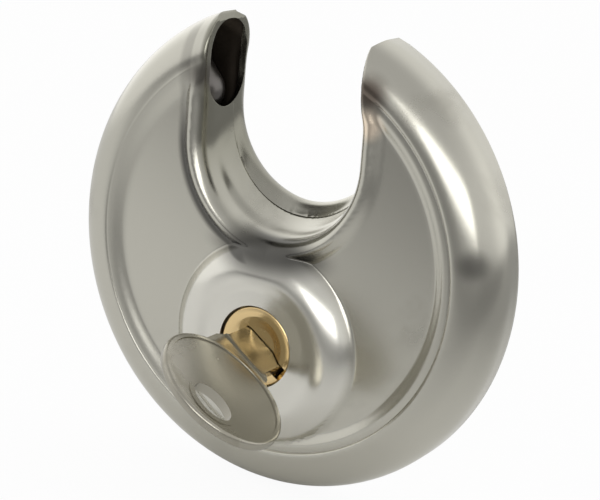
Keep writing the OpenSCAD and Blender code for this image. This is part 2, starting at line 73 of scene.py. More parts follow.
# %% Camera
MM = 0.001
shell_low, shell_high = (Vector(c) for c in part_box("front_shell"))
CASE_R = (shell_high.x - shell_low.x) / 2 / MM
case_mid = Vector((0, 0, shell_low.z + CASE_R * MM))
CAM_PLACE = Vector((121.555, -197.223, 66.436))
CAM_RIGHT, CAM_UP = Vector((0.84481, 0.52907, 0.07987)), Vector((-0.20857, 0.18815, 0.95974))
CAM_LENS, CAM_SHIFT = 101.18, (-0.02412, -0.0175)
camera = bpy.data.objects.new("camera", bpy.data.cameras.new("camera"))
bpy.context.scene.collection.objects.link(camera)
cam_back = CAM_RIGHT.cross(CAM_UP).normalized()
view = Matrix((CAM_RIGHT, CAM_UP, cam_back)).transposed().to_4x4()
view.translation = case_mid + CAM_PLACE * MM
camera.matrix_world = view
camera.data.sensor_width = 36
camera.data.lens = CAM_LENS
camera.data.shift_x, camera.data.shift_y = CAM_SHIFT
camera.data.clip_start = 0.01
bpy.context.scene.camera = camera
bpy.context.scene.view_settings.view_transform = "Standard"
print("case middle", [round(v, 4) for v in case_mid], "radius", round(CASE_R, 2), "mm")

# %% [markdown]
# ## Helpers for nodes and meshes
# Every material is a small tree of nodes, and every piece starts as a bmesh. A few helpers keep
# the later cells short: one adds any node with its inputs, and the others add the sums, ramps and
# blends that come back again and again.

# %% Node helpers
def node(tree, kind, inputs=None, **attrs):
    "Add a node, set its properties, and link or set its inputs."
    n = tree.nodes.new(kind)
    for key, value in attrs.items():
        setattr(n, key, value)
    for key, value in (inputs or {}).items():
        if isinstance(value, bpy.types.NodeSocket):
            tree.links.new(value, n.inputs[key])
        else:
            n.inputs[key].default_value = value
    return n

def sums(tree, operation, *values):
    "The result of a sum on numbers."
    return node(tree, "ShaderNodeMath", dict(enumerate(values)), operation=operation).outputs[0]

def times(tree, *values):
    "The product of several values."
    out = values[0]
    for value in values[1:]:
        out = sums(tree, "MULTIPLY", out, value)
    return out

def vector_sums(tree, operation, *values):
    "The result of a sum on places, which is a number for a length or a distance."
    n = node(tree, "ShaderNodeVectorMath", dict(enumerate(values)), operation=operation)
    return n.outputs["Value" if operation in ("LENGTH", "DISTANCE") else "Vector"]

def span(tree, value, low, high, start=0.0, end=1.0, kind="SMOOTHSTEP"):
    "A ramp of a value between two places."
    return node(tree, "ShaderNodeMapRange", {"Value": value, "From Min": low, "From Max": high,
                "To Min": start, "To Max": end}, interpolation_type=kind).outputs[0]

def blend(tree, share, first, second):
    "Mix two colours, each a socket or a plain colour."
    pair = [c if isinstance(c, bpy.types.NodeSocket) else (*c, 1) for c in (first, second)]
    return node(tree, "ShaderNodeMix", {0: share, 6: pair[0], 7: pair[1]},
                data_type="RGBA").outputs[2]

def new_material(name):
    "An empty material with nodes."
    m = bpy.data.materials.new(name)
    m.use_nodes = True
    m.node_tree.nodes.clear()
    return m

# %% Mesh helper
def put_object(name, bm, scale=1.0, middle=(0, 0, 0)):
    "Turn a bmesh into an object at the origin, with its place in its mesh."
    bm.transform(Matrix.Translation(middle) @ Matrix.Scale(scale, 4))
    mesh = bpy.data.meshes.new(name)
    bm.to_mesh(mesh)
    bm.free()
    ob = bpy.data.objects.new(name, mesh)
    bpy.context.scene.collection.objects.link(ob)
    return ob

# %% [markdown]
# ## Floor, surround and lamp
# Satin steel shows whatever stands round it. The floor's colour is painted shade that darkens to
# the front and to the right, a painted shadow that only reflections see; with a pale surround that
# is brightest on the left, it gives the flat panel and the rim their calm shading. One soft lamp
# draws the highlights along the bends. The camera sees floor and surround as plain white.

# %% Floor
FLOOR_HALF, FLOOR_GAP, WHITE_SHARE = 3, 0.0004, 0.94
pale = new_material("pale floor")
t = pale.node_tree
where = node(t, "ShaderNodeSeparateXYZ",
             {0: node(t, "ShaderNodeTexCoord").outputs["Object"]}).outputs
# painted shade on the floor: darker to the front and to the right, seen only in reflections
slant = sums(t, "MULTIPLY_ADD", where["Y"], 0.8, sums(t, "MULTIPLY", where["X"], -0.6))
floor_painted_shade = sums(t, "MINIMUM", span(t, slant, -0.11, -0.03, 0.27, 0.88, "LINEAR"),
             span(t, where["X"], 0.03, 0.10, 0.88, 0.45, "LINEAR"))
shade = node(t, "ShaderNodeBsdfDiffuse", {"Color": floor_painted_shade})
white = node(t, "ShaderNodeEmission", {"Color": (1, 1, 1, 1), "Strength": 1.0})
seen = sums(t, "MULTIPLY", node(t, "ShaderNodeLightPath").outputs["Is Camera Ray"], WHITE_SHARE)
mixed = node(t, "ShaderNodeMixShader", {0: seen, 1: shade.outputs[0], 2: white.outputs[0]})
node(t, "ShaderNodeOutputMaterial", {"Surface": mixed.outputs[0]})
bm = bmesh.new()
bmesh.ops.create_grid(bm, x_segments=1, y_segments=1, size=FLOOR_HALF)
floor = put_object("floor", bm, 1.0, (0, 0, cad_box[0][2] - FLOOR_GAP))
floor.data.materials.append(pale)
print("floor at", round(cad_box[0][2] - FLOOR_GAP, 4))

# %% Surround
world = bpy.data.worlds.new("surround")
bpy.context.scene.world = world
world.use_nodes = True
t = world.node_tree
t.nodes.clear()
way = node(t, "ShaderNodeSeparateXYZ",
           {0: node(t, "ShaderNodeTexCoord").outputs["Generated"]}).outputs
left = span(t, way["X"], -0.2, -0.95, 0.62, 1.05)
right = span(t, way["X"], 0.4, 1.0, 0.0, 0.25)
behind = span(t, way["Y"], -0.2, 0.6, 0.0, 0.4)
around = sums(t, "ADD", sums(t, "ADD", left, right), behind)
seen = node(t, "ShaderNodeLightPath").outputs["Is Camera Ray"]
bright = node(t, "ShaderNodeMix", {0: seen, 2: around, 3: 1.0})
glow = node(t, "ShaderNodeBackground", {"Color": (1, 1, 1, 1), "Strength": bright.outputs[0]})
node(t, "ShaderNodeOutputWorld", {"Surface": glow.outputs[0]})
print("surround has", len(t.nodes), "nodes")

# %% Lamp
LAMP_PLACE, LAMP_SIZE, LAMP_WATTS = Vector((0.19, -0.495, 0.10)), (0.50, 0.19), 0.72
light = bpy.data.lights.new("front light", "AREA")
light.shape = "RECTANGLE"
light.size, light.size_y = LAMP_SIZE
light.energy = LAMP_WATTS
lamp = bpy.data.objects.new("front light", light)
bpy.context.scene.collection.objects.link(lamp)
lamp.location = LAMP_PLACE
lamp.rotation_euler = (LAMP_PLACE - case_mid).to_track_quat("Z", "Y").to_euler()
print("lamp stands", round((LAMP_PLACE - case_mid).length, 3), "m from the case")

# %% [markdown]
# ## Press tools for the shells
# Each half of the case is one sheet of steel. On the real lock a die pushes a flat blank into
# the ring, the boss and the lip round the notch in a few strokes. The same order works here.
# A profile is spun into a blank of many small faces, the die then moves its vertices to where
# the pressed sheet lies, and smooth maxima and minima round the valleys and crests as bent
# sheet does. Across and up are counted in millimetres from the middle of the case, and depth
# from its middle plane, outwards.

# %% Sizes of the case
SHEET = 1.0                                   # thickness of the steel
RIM_R = 5.75                                  # radius of the rim's round section
RIM_C = CASE_R - RIM_R                        # and the radius on which its middle runs
NOTCH_R, NOTCH_UP = 12.6, 17.0                # the notch's round end and its middle's height
NOTCH_TILT, NOTCH_LEAN = math.radians(20), math.radians(0.5)
TIP_UP = CASE_R - 3.7                         # where the flat at the tip of an ear starts
BOSS_DOWN, BOSS_FLAT, BOSS_FOOT = 13.05, 10.2, 14.7
BAR_PATH, BAR_HALF, BAR_REACH, MOUTH_GAP = -case_mid.z / MM, 3.7, 1.6, 0.8
HOLE_R = 6.0                                  # the plug's hole
print("rim runs on radius", round(RIM_C, 2), "mm, the bar on", round(BAR_PATH, 2), "mm")

# %% Soft joins
def smooth_max(a, b, k):
    "The greater of two depths, with their crossing rounded over k."
    h = max(k - abs(a - b), 0) / k
    return max(a, b) + h * h * k / 4

def smooth_min(a, b, k):
    "The lesser of two depths, with their crossing rounded over k."
    return -smooth_max(-a, -b, k)

def ease(v, low, high):
    "0 below low, 1 above high, and smooth between."
    v = min(max((v - low) / (high - low), 0), 1)
    return v * v * (3 - 2 * v)

# %% Profile of each blank
def rim_points(first, last, count):
    "Points of the rim's round section, from one angle to another."
    angles = [math.radians(first + (last - first) * i / count) for i in range(count + 1)]
    return [(RIM_C + RIM_R * math.sin(a), RIM_R * math.cos(a)) for a in angles]

def flat_points(last, depth, crown):
    "Points across a slightly domed panel, closer together near the notch's round end."
    radii = [0.3 * i for i in range(40)] + [12 + 0.5 * i for i in range(round((last - 12) / 0.5))]
    return [(r, depth + crown * (1 - (r / last) ** 2)) for r in radii]

# %% Front blank
# lean: 1 for the front and -1 for the rear; edge: depth of the seam
# crest, crest_path, crest_r, sink: the lip's height, place, roundness and its drop to the tips
# soft, round: how softly the lip joins the panel and the notch
# flare, draw, lift: radius and depth of the bend into the notch, its stretch, its rise to the tips
# boss, face, dish: the boss's height, the panel it stands on and its hollow
FRONT = {"lean": 1, "crest": 6.0, "crest_path": 14.1, "crest_r": 1.2, "flare": (3.9, 3.0),
         "boss": 7.55, "face": 5.0, "dish": 0.25, "edge": -2.2, "soft": 0.4, "sink": 0.45,
         "round": 0.8, "draw": 1.6, "lift": 2.4}
PANEL_R = 26.0
panel = flat_points(PANEL_R, 4.85, 0.05)
GROOVE = [(26.0, 4.85), (26.2, 4.86), (26.4, 4.91), (26.7, 5.04), (27.0, 5.19), (27.3, 5.34),
          (27.5, 5.41), (27.7, 5.45), (28.0, 5.46), (28.35, 5.46), (28.58, 5.45), (28.66, 5.42),
          (28.72, 5.5), (28.8, 5.64), (28.95, 5.715)]
FRONT["profile"] = panel + GROOVE + rim_points(0, 90, 22) + [
    (CASE_R, h) for h in (-0.5, -1.1, -1.7, -2.3, -2.8)]
FRONT["inner"] = len(panel)
print("front profile has", len(FRONT["profile"]), "points")

# %% Depth of the blank
SKIRT = -0.3              # deeper than this the blank is the plain edge round the case
GROOVE_FROM, GROOVE_TO = 25.5, 29.2

def rim_depth(r, base, side):
    "Depth of the undented blank at a distance from its middle."
    if base < SKIRT or r >= CASE_R - 0.01:
        return base
    points, inner = side["profile"], side["inner"]
    for (r0, h0), (r1, h1) in zip(points[inner:], points[inner + 1:]):
        if r0 <= r < r1:
            return h0 + (h1 - h0) * (r - r0) / (r1 - r0)
    middle, edge = points[0][1], points[inner][1]
    return middle + (edge - middle) * (r / points[inner][0]) ** 2

def soft_groove(x, r, depth):
    "The groove round the panel is shallow on the left and crisp on the right."
    if not GROOVE_FROM < r < GROOVE_TO:
        return depth
    soft = 4.85 + 0.9 * ease(r, GROOVE_FROM, GROOVE_TO)
    return depth + (soft - depth) * 0.75 * ease(-x, 4, 16)

# %% Lip and boss
LIP_SIN, LIP_DROP, LIP_SLOPE = 0.616, 0.213, 0.78   # where the lip's round crest turns straight

def notch_mid(side):
    "Height of the middle of the notch's round end, at the level of the rim's crown."
    return NOTCH_UP - RIM_R * math.tan(NOTCH_TILT) * side["lean"]

def lip_depth(x, u, side):
    "Depth of the lip round the notch: a round crest and then a straight flank."
    mid, r = notch_mid(side), side["crest_r"]
    off = math.hypot(x, min(u - mid, 0)) - side["crest_path"]
    depth = side["crest"] - side["sink"] * ease(u, mid + 5, mid + 11)
    over = max(math.hypot(x, u) - RIM_C, 0)
    depth -= RIM_R - math.sqrt(max(RIM_R ** 2 - over ** 2, 0))
    if off >= LIP_SIN * r:
        depth -= LIP_DROP * r + (off - LIP_SIN * r) * LIP_SLOPE
    elif off > 0:
        depth -= r - math.sqrt(r * r - off * off)
    return depth

def boss_depth(far, side):
    "Depth of the boss at a distance from its middle: a dished flat with a round shoulder."
    w, drop = BOSS_FOOT - BOSS_FLAT, side["boss"] - side["face"]
    bend = (w * w + drop * drop) / (2 * drop)
    if far >= BOSS_FLAT + 0.95 * bend:
        return -math.inf
    over = max(far - BOSS_FLAT, 0)
    depth = side["boss"] - bend + math.sqrt(bend * bend - over * over)
    return depth - side["dish"] * (1 - ease(far, 8.0, BOSS_FLAT))

def panel_depth(x, u, base, side):
    "Depth of the sheet outside the notch: panel, lip and boss joined softly."
    if base < SKIRT:
        return base
    depth = smooth_max(base, lip_depth(x, u, side), side["soft"])
    return smooth_max(depth, boss_depth(math.hypot(x, u + BOSS_DOWN), side), 0.5)

# %% Bend into the notch
# the flare is a round bend, and sheet outside it lies straight along its first slope
FLARE_OUT, FLARE_SIN, FLARE_COS, FLARE_SLOPE = 0.513, 0.487, 0.8735, 0.558

def bend_down(x, u, side):
    "Where sheet at the notch goes: across, up, and the depth that the bend takes it to."
    mid, tan = notch_mid(side), math.tan(NOTCH_TILT) * side["lean"]
    flare, deep = side["flare"]
    low = side["crest"] - deep
    arm, under = max(u - mid, 0), min(u - mid, 0)
    a, start = math.hypot(x, under), NOTCH_R + flare * FLARE_OUT
    lift = side["lift"] * ease(arm, 5, 11)
    if a >= start:
        return x, u, low + lift + flare * FLARE_COS + FLARE_SLOPE * (a - start)
    nx, nu = (x / a, under / a) if a > 1e-6 else (0, -1)
    along = (start - a) * side["draw"]
    first = math.asin(FLARE_SIN)
    bent = flare * (math.pi / 2 - first)
    turn = first + min(along, bent) / flare
    new_a = NOTCH_R + flare - flare * math.sin(turn)
    cut = low + lift + flare * math.cos(turn) - max(along - bent, 0)
    # the wall leans back, so its round end moves up as it goes deeper
    deeper = ease(-cut, -low, 2 - low)
    slide = (NOTCH_UP - cut * tan - mid) * (1 - ease(arm, 0, 14))
    wall = slide + nu * NOTCH_R / math.cos(NOTCH_TILT)
    new_u = mid + arm + nu * new_a + (wall - nu * new_a) * deeper
    new_x = nx * new_a - math.copysign(math.tan(NOTCH_LEAN) * arm, x)
    return new_x, new_u, cut

# %% The die
def press(x, u, base, side):
    "Where the die puts a point of the blank: across, up and depth."
    new_x, new_u, cut = bend_down(x, u, side)
    r = math.hypot(new_x, new_u)
    if (new_x, new_u) != (x, u):
        base = rim_depth(r, base, side)
    if side["lean"] > 0:
        base = soft_groove(new_x, r, base)
    return new_x, new_u, smooth_min(panel_depth(new_x, new_u, base, side), cut, side["round"])

# %% Flat at the tip of each ear
tip_x = NOTCH_R - (TIP_UP - NOTCH_UP) * math.tan(NOTCH_LEAN)

def beyond_tip(x, u):
    "How far a point lies beyond the sloped flat at the tip of its ear."
    return (u - TIP_UP - abs(x) + tip_x) / math.sqrt(2)

def close_tip(bm, hand):
    "Trim one ear along its sloped flat and close the end with a flat face."
    ear = [f for f in bm.faces if all(v.co.x * hand > 0 and v.co.z > 24 for v in f.verts)]
    parts = set(ear) | {e for f in ear for e in f.edges} | {v for f in ear for v in f.verts}
    cut = bmesh.ops.bisect_plane(bm, geom=list(parts), dist=1e-5, clear_outer=True,
                                 plane_co=(hand * tip_x, 0, TIP_UP),
                                 plane_no=(-hand, 0, 1))["geom_cut"]
    rim = [e for e in cut if isinstance(e, bmesh.types.BMEdge)]
    ends = [v for v in cut if isinstance(v, bmesh.types.BMVert)
            and sum(e in rim for e in v.link_edges) == 1]
    print("tip rim:", len(rim), "edges,", len(ends), "ends")
    rim.append(bm.edges.new(ends))
    bmesh.ops.contextual_create(bm, geom=rim)

# %% Spin a profile
def spin_profile(points, steps, first=0.0, sweep=math.tau, join=1e-5):
    "Spin a profile of (radius, depth) points about the depth axis."
    bm = bmesh.new()
    verts = [bm.verts.new((r, -h, 0)) for r, h in points]
    edges = [bm.edges.new(pair) for pair in zip(verts, verts[1:])]
    bmesh.ops.rotate(bm, verts=verts, cent=(0, 0, 0), matrix=Matrix.Rotation(first, 3, "Y"))
    bmesh.ops.spin(bm, geom=verts + edges, cent=(0, 0, 0), axis=(0, 1, 0), angle=sweep,
                   steps=steps, use_merge=sweep == math.tau)
    bmesh.ops.remove_doubles(bm, verts=bm.verts, dist=join)
    return bm

# %% Press one shell
IRONING = ((3.0, 3), (2.0, 4))    # how far from the notch, and how many strokes
SEAM_JOIN = 0.06

def iron(bm, side):
    "Smooth out the small facets that the die leaves along the lip and the wall."
    for reach, strokes in IRONING:
        wall = [v for v in bm.verts if abs(v.co.y) < 7
                and math.hypot(v.co.x, min(v.co.z - notch_mid(side), 0)) < NOTCH_R + reach]
        for _ in range(strokes):
            bmesh.ops.smooth_vert(bm, verts=wall, factor=0.5, use_axis_x=True, use_axis_y=True,
                                  use_axis_z=True)

def press_shell(side, turns):
    "Spin the blank, press it, iron it, and trim it at the seam and the tips."
    bm = spin_profile(side["profile"], turns, join=1e-4)
    for v in bm.verts:
        x, u, depth = press(v.co.x, v.co.z, -v.co.y, side)
        v.co = (x, -depth, u)
    iron(bm, side)
    bmesh.ops.bisect_plane(bm, geom=bm.verts[:] + bm.edges[:] + bm.faces[:], dist=1e-5,
                           plane_co=(0, -side["edge"], 0), plane_no=(0, 1, 0), clear_outer=True)
    rim = [v for v in bm.verts if v.is_boundary]
    bmesh.ops.remove_doubles(bm, verts=rim, dist=SEAM_JOIN)
    for hand in (1, -1):
        close_tip(bm, hand)
    return bm

# %% [markdown]
# ## Cut the openings
# On the real case the mouths for the bar and the plug's hole are cut after pressing. Cutting the
# thick sheet with solid cutters leaves clean lips, and a small bevel on the cut edges catches the
# light as filed sheet does. One cutter with the bar's oval section, spun over the notch from ear
# to ear, opens both mouths at once.

# %% Cutters
def spun(points, first=0.0, sweep=math.tau, steps=96, centre=(0, 0)):
    "A closed solid from a spun profile."
    bm = spin_profile(points, steps, first, sweep)
    bmesh.ops.holes_fill(bm, edges=[e for e in bm.edges if e.is_boundary], sides=0)
    bmesh.ops.recalc_face_normals(bm, faces=bm.faces)
    bmesh.ops.translate(bm, verts=bm.verts, vec=(centre[0], 0, centre[1]))
    return bm

MOUTH_INWARDS, MOUTH_FULLNESS, MOUTH_STEPS = 0.2, 0.88, 40

def oval_ring(half, reach):
    "Points round the mouth's section: a circle of radius half, pulled out sideways by reach."
    points = []
    for i in range(MOUTH_STEPS + 1):
        a = math.tau * i / MOUTH_STEPS
        out, deep = math.sin(a), math.cos(a)
        if out > 0:
            deep = math.copysign(abs(deep) ** MOUTH_FULLNESS, deep)
        points.append((BAR_PATH - MOUTH_INWARDS + half * out + math.copysign(reach, out + 1e-6),
                       half * deep))
    return points

cut_mouth = put_object("cut_mouth", spun(oval_ring(BAR_HALF + MOUTH_GAP, BAR_REACH - 0.45),
                                         math.radians(25), -math.radians(230), 120), MM, case_mid)
cut_hole = put_object("cut_hole", spun([(0, 4), (HOLE_R, 4), (HOLE_R, 9), (0, 9)],
                                       centre=(0, -BOSS_DOWN)), MM, case_mid)
print("mouth cutter:", len(cut_mouth.data.polygons), "faces")

# %% Modifier helpers
def baked(ob):
    "Apply an object's modifiers."
    deps = bpy.context.evaluated_depsgraph_get()
    mesh = bpy.data.meshes.new_from_object(ob.evaluated_get(deps))
    old, ob.data = ob.data, mesh
    ob.modifiers.clear()
    bpy.data.meshes.remove(old)

def carve(ob, tool, operation="DIFFERENCE"):
    "Cut an object with a tool, or join the two."
    cut = ob.modifiers.new("cut", "BOOLEAN")
    cut.object, cut.operation, cut.solver = tool, operation, "MANIFOLD"

def soften(ob, width, angle):
    "Round the sharp edges of an object."
    soft = ob.modifiers.new("edges", "BEVEL")
    soft.width, soft.segments = width * MM, 2
    soft.limit_method, soft.angle_limit = "ANGLE", angle

def smooth(ob, angle):
    "Shade an object smooth, with edges sharper than an angle left crisp."
    ob.data.polygons.foreach_set("use_smooth", [True] * len(ob.data.polygons))
    ob.data.set_sharp_from_angle(angle=math.radians(angle))

# %% Finish a sheet
LIP_BEVEL, CRISP = 0.12, 50
THIN_FROM, THIN_TO, THIN_SHARE = -3.0, -0.4, 0.97   # the sheet thins out to its closed tips

def past_tip(v):
    "How far a vertex of a finished sheet lies beyond the flat of its ear."
    return beyond_tip(v.co.x / MM, (v.co.z - case_mid.z) / MM)

def thicken(ob, cutters):
    "Give a sheet its thickness, with a second material inside, and cut its openings."
    for _ in ("outside", "inside"):    # two empty slots, dressed later
        ob.data.materials.append(None)
    thin = ob.vertex_groups.new(name="thin")
    for v in ob.data.vertices:
        near = ease(past_tip(v), THIN_FROM, THIN_TO)
        if near:
            thin.add([v.index], THIN_SHARE * near, "REPLACE")
    solid = ob.modifiers.new("sheet", "SOLIDIFY")
    solid.vertex_group, solid.invert_vertex_group = "thin", True
    solid.thickness, solid.offset, solid.use_even_offset = SHEET * MM, -1, False
    solid.material_offset = 1
    for cutter in cutters:
        carve(ob, cutter)
    baked(ob)

def round_lips(ob):
    "Round the cut edges, except those at the flats of the tips."
    bm = bmesh.new()
    bm.from_mesh(ob.data)
    lips = [e for e in bm.edges if e.calc_face_angle(0) > math.radians(CRISP)
            and max(past_tip(v) for v in e.verts) < -1.2]
    bmesh.ops.bevel(bm, geom=lips, offset=LIP_BEVEL * MM, offset_type="OFFSET", segments=2,
                    profile=0.5, affect="EDGES", clamp_overlap=True, material=-1)
    bm.to_mesh(ob.data)
    bm.free()
    smooth(ob, CRISP)

# %% [markdown]
# ## The two shells
# The front shell has the stepped panel, the boss and the high lip of the notch. The rear shell
# is plainer: a flat panel, a lower lip and a taller boss. Both come from the same tools. A sheet's
# faces have to point outwards before it gets its thickness, so that the steel grows inwards.

# %% Make a shell
def make_shell(name, side, turns, cutters):
    "Press a shell, turn it to its side of the case, and finish its sheet."
    bm = press_shell(side, turns)
    bmesh.ops.scale(bm, verts=bm.verts, vec=(1, side["lean"], 1))
    bmesh.ops.recalc_face_normals(bm, faces=bm.faces)
    if sum(f.normal.y * f.calc_area() for f in bm.faces) * side["lean"] > 0:
        bmesh.ops.reverse_faces(bm, faces=bm.faces)
    ob = put_object(name, bm, MM, case_mid)
    thicken(ob, cutters)
    round_lips(ob)
    print(name, len(ob.data.polygons), "faces")
    return ob

# %% Front shell
front = make_shell("front_shell_pressed", FRONT, 496, (cut_mouth, cut_hole))

# %% Rear shell
BACK = {"lean": -1, "crest": 5.95, "crest_path": 14.31, "crest_r": 1.5, "flare": (2.4, 1.8),
        "boss": 8.55, "face": 5.75, "dish": 0.0, "edge": 2.2, "soft": 0.6, "sink": 0.3,
        "round": 0.7, "draw": 1.5, "lift": 1.2}
panel = flat_points(RIM_C, RIM_R, 0.0)
BACK["profile"] = panel + rim_points(0, 78, 20)
BACK["inner"] = len(panel)
rear = make_shell("rear_shell_pressed", BACK, 460, (cut_mouth,))

# %% [markdown]
# ## Plug face
# The plug is turned from brass rod. Its face is a shallow cone with a polished rim, and the
# key's slot is milled through it. A spun profile with a slot cut from it makes the same shape.

# %% Plug
KEY_TURN = math.radians(-34)
PLUG_TOP, PLUG_R, BARREL_R, SHOULDER, PLUG_END = 7.0, 5.8, 5.0, 5.35, -2.45
plug_profile = [(0, PLUG_END), (BARREL_R, PLUG_END), (BARREL_R, SHOULDER), (PLUG_R, SHOULDER),
                (PLUG_R, PLUG_TOP - 0.3), (PLUG_R - 0.05, PLUG_TOP - 0.14),
                (PLUG_R - 0.16, PLUG_TOP - 0.04), (PLUG_R - 0.35, PLUG_TOP),
                (4.45, PLUG_TOP - 0.02), (4.2, PLUG_TOP - 0.1), (4.0, PLUG_TOP - 0.22),
                (2.7, PLUG_TOP - 0.85), (2.5, PLUG_TOP - 0.92), (2.2, PLUG_TOP - 0.94),
                (0, PLUG_TOP - 0.94)]
plug = put_object("plug_face", spun(plug_profile, centre=(0, -BOSS_DOWN), steps=128), MM,
                  case_mid)

# %% Slot of the plug
def plate(outline, low, thick, lift):
    "An outline drawn out by a thickness; lift turns (across, along, height) into a place."
    bm = bmesh.new()
    face = bm.faces.new([bm.verts.new(lift(a, b, low)) for a, b in outline])
    top = bmesh.ops.extrude_face_region(bm, geom=[face])["geom"]
    bmesh.ops.translate(bm, verts=[g for g in top if isinstance(g, bmesh.types.BMVert)],
                        vec=lift(0, 0, thick))
    bmesh.ops.recalc_face_normals(bm, faces=bm.faces)
    return bm

SLOT_FROM, SLOT_TO, SLOT_HALF = -3.05, 7, 1.05
SLOT_LOW, SLOT_DEEP = -2.0, 11.0
slot = plate([(SLOT_FROM, -SLOT_HALF), (SLOT_TO, -SLOT_HALF), (SLOT_TO, SLOT_HALF),
              (SLOT_FROM, SLOT_HALF)], SLOT_LOW, SLOT_DEEP, lambda x, u, depth: (x, -depth, u))
bmesh.ops.rotate(slot, verts=slot.verts, cent=(0, 0, 0),
                 matrix=Matrix.Rotation(-KEY_TURN, 3, "Y"))
bmesh.ops.translate(slot, verts=slot.verts, vec=(0, 0, -BOSS_DOWN))
cut_slot = put_object("cut_slot", slot, MM, case_mid)
carve(plug, cut_slot)
soften(plug, 0.08, 0.9)
baked(plug)
smooth(plug, 40)
print("plug face:", len(plug.data.polygons), "faces")

# %% [markdown]
# ## Key
# The key is stamped from nickel-plated brass, so every edge is a little soft. The blade has to
# match the pins, so a merged copy of the solid blade is kept and gets rounded edges. The bow is
# an oval plate with a shallow dish on both faces, joined by a short neck, and a raised rim runs
# round its hole. The pieces are drawn flat and then set in the turned plug.

# %% Blade
KEY_EDGE = math.radians(25)
bm = bmesh.new()
bm.from_mesh(bpy.data.objects["key"].data)
bmesh.ops.remove_doubles(bm, verts=bm.verts, dist=2e-6)
bmesh.ops.dissolve_limit(bm, angle_limit=math.radians(0.6), verts=bm.verts, edges=bm.edges)
blade = put_object("blade", bm)
soften(blade, 0.1, KEY_EDGE)
baked(blade)
print("blade:", len(blade.data.polygons), "faces")

# %% Take the solid bow off the blade
NECK_UP, NECK_T = 11.5, 1.5
BLOCK = (60, 30, 60)
bm = bmesh.new()
bmesh.ops.create_cube(bm, size=1)
bmesh.ops.scale(bm, verts=bm.verts, vec=BLOCK)
cut_bow = put_object("cut_bow", bm, MM,
                     Vector((0, -NECK_UP - BLOCK[1] / 2, -BOSS_DOWN)) * MM + case_mid)
carve(blade, cut_bow)
baked(blade)
bpy.data.objects.remove(cut_bow)

# %% Bow and neck
BOW_MID, BOW_A, BOW_B, BOW_T, BOW_EDGE = (4.0, 19.8), 10.0, 8.0, 1.6, 0.5
BORDER, DISH, DISH_TOOL = 0.9, 0.18, 2.0
HOLE_MID, HOLE_A, HOLE_B, HOLE_RIM = (5.2, 23.7), 3.3, 2.0, 0.75

def oval_plate(middle, a, b, thick, edge=0.0):
    "An oval plate in the key's drawing, across and along, with its thickness halved about 0."
    bm = bmesh.new()
    bmesh.ops.create_circle(bm, cap_ends=True, segments=96, radius=1)
    bmesh.ops.scale(bm, verts=bm.verts, vec=(a, b, 1))
    top = bmesh.ops.extrude_face_region(bm, geom=bm.faces[:])["geom"]
    bmesh.ops.translate(bm, verts=[g for g in top if isinstance(g, bmesh.types.BMVert)],
                        vec=(0, 0, thick))
    bmesh.ops.translate(bm, verts=bm.verts, vec=(middle[0], middle[1], -thick / 2))
    bmesh.ops.recalc_face_normals(bm, faces=bm.faces)
    if edge:
        rim = [e for e in bm.edges if e.calc_face_angle(0) > 0.8]
        bmesh.ops.bevel(bm, geom=rim, offset=edge, segments=5, profile=0.5, affect="EDGES",
                        offset_type="OFFSET", material=-1)
    return bm

to_key = (Matrix.Translation(case_mid + Vector((0, 0, -BOSS_DOWN)) * MM)
          @ Matrix.Rotation(-KEY_TURN, 4, "Y") @ Matrix.Rotation(math.radians(180), 4, "X")
          @ Matrix.Scale(MM, 4))

def key_object(name, bm):
    "Set a drawn piece of the key in the turned plug, with its faces outwards."
    bm.transform(to_key)
    if bm.calc_volume(signed=True) < 0:
        bmesh.ops.reverse_faces(bm, faces=bm.faces)
    return put_object(name, bm)

key = key_object("key_stamped", oval_plate(BOW_MID, BOW_A, BOW_B, BOW_T, BOW_EDGE))
neck = plate([(-3.1, NECK_UP - 0.2), (5.6, NECK_UP - 0.2), (6.6, NECK_UP + 1.0),
              (6.6, NECK_UP + 3.0), (-3.8, NECK_UP + 4.5), (-3.8, NECK_UP + 1.4)],
             -NECK_T / 2, NECK_T, lambda x, along, height: (x, along, height))

# %% Stamp the key
stamps = [("UNION", blade), ("UNION", key_object("neck", neck))]
for face in (1, -1):
    bm = oval_plate(BOW_MID, BOW_A - BORDER, BOW_B - BORDER, DISH_TOOL)
    bmesh.ops.translate(bm, verts=bm.verts,
                        vec=(0, 0, face * (BOW_T / 2 + DISH_TOOL / 2 - DISH)))
    stamps.append(("DIFFERENCE", key_object("cut_recess", bm)))
stamps.append(("UNION", key_object("hole_rim", oval_plate(HOLE_MID, HOLE_A + HOLE_RIM,
                                                          HOLE_B + HOLE_RIM, BOW_T - 0.1))))
stamps.append(("DIFFERENCE", key_object("cut_hole_key", oval_plate(HOLE_MID, HOLE_A, HOLE_B, 4))))
for operation, tool in stamps:
    carve(key, tool, operation)
soften(key, 0.12, math.radians(35))
baked(key)
smooth(key, 25)
for operation, tool in stamps:
    bpy.data.objects.remove(tool)
print("key:", len(key.data.polygons), "faces")

# %% [markdown]
# ## Surfaces
# Some effects are shared, so each is built once as a node group. Smudges are broad soft patches
# from handling, grain is the fine tooth that tumbling leaves on steel, and turning marks are
# rings that a lathe cuts round an axis.

# %% Node group helpers
def new_group(name, inputs, outputs):
    "An empty shader node group; an input without a start value is a place."
    g = bpy.data.node_groups.new(name, "ShaderNodeTree")
    for label, start in inputs:
        kind = "NodeSocketVector" if start is None else "NodeSocketFloat"
        sock = g.interface.new_socket(name=label, in_out="INPUT", socket_type=kind)
        if start is not None:
            sock.default_value = start
    for label in outputs:
        g.interface.new_socket(name=label, in_out="OUTPUT", socket_type="NodeSocketFloat")
    return g, node(g, "NodeGroupInput").outputs, node(g, "NodeGroupOutput").inputs

def put_group(tree, group, inputs):
    "Place a node group in a tree with its own values."
    return node(tree, "ShaderNodeGroup", inputs, node_tree=group).outputs

